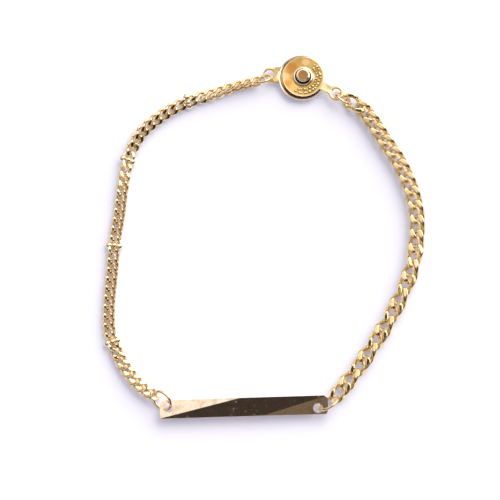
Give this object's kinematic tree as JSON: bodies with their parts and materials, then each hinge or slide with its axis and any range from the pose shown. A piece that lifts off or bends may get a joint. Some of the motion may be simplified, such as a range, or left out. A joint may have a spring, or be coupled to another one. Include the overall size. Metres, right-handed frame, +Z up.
{
  "type": "chain bracelet",
  "caption": "Gold-tone bracelet with a fine beaded curb chain, a heavier curb chain, a faceted bar and a round snap, lying closed in a loop.",
  "frame": {"origin": "middle of the bracelet's overall box in plan, on the surface that it lies on", "axes": "+Z up from the surface, +Y from the bar to the snap, +X towards the heavier chain"},
  "size_m": [0.0536, 0.062, 0.0035],
  "materials": {
    "clasp_base_gold": "polished gold-tone plating",
    "clasp_cap_gold": "polished gold-tone plating",
    "fine_chain_gold": "polished gold-tone plating",
    "station_gold": "polished gold-tone plating",
    "heavy_chain_gold": "polished gold-tone plating, filed flat faces",
    "bar_gold": "mirror polished gold-tone plating",
    "ring_gold": "polished gold-tone plating"
  },
  "bodies": {
    "root": {"clasp_base": "clasp_base_gold", "clasp_cap": "clasp_cap_gold", "chain_left": "fine_chain_gold", "station_1": "station_gold", "station_2": "station_gold", "station_3": "station_gold", "station_4": "station_gold", "chain_right": "heavy_chain_gold", "bar": "bar_gold", "ring_clasp_left": "ring_gold", "ring_clasp_right": "ring_gold", "ring_bar_left": "ring_gold", "ring_bar_right": "ring_gold"}
  },
  "joints": []
}
